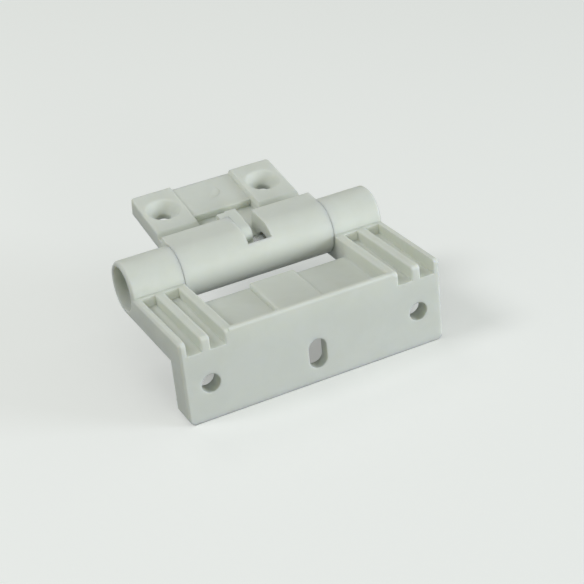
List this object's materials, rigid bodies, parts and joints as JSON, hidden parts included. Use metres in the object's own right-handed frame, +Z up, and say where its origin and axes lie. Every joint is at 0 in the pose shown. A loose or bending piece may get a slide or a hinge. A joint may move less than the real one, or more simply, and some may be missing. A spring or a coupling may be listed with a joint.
{
  "type": "screen door hinge",
  "caption": "Moulded screen door hinge: a drilled leaf turns between the cored arms of a flanged bracket, on pins that a thumb lug can draw back.",
  "frame": {"origin": "on the flange's flat face, midway between its two round screw holes", "axes": "+X along the hinge axis, +Y from the flange towards the barrel, +Z up the flange towards the arms"},
  "size_m": [0.064, 0.0588, 0.0281],
  "materials": {
    "white_plastic": "satin",
    "lug_plastic": "satin",
    "steel": "ground",
    "spring_steel": "drawn"
  },
  "bodies": {
    "bracket": {"frame_bracket": "white_plastic"},
    "leaf": {"door_leaf": "white_plastic", "fixed_pin": "steel", "return_spring": "spring_steel"},
    "pin": {"slide_pin": "steel", "thumb_lug": "lug_plastic"}
  },
  "joints": [
    {"name": "leaf_swing", "type": "hinge", "parent": "bracket", "child": "leaf", "pos_m": [0, 0.0324, 0.01054], "axis": [1, 0, 0], "range_deg": [-158, 166]},
    {"name": "pin_slide", "type": "slide", "parent": "leaf", "child": "pin", "axis": [1, 0, 0], "range_m": [0, 0.003], "stiffness_N_per_m": 400, "springref_m": -0.005, "deforming": ["return_spring"]}
  ]
}
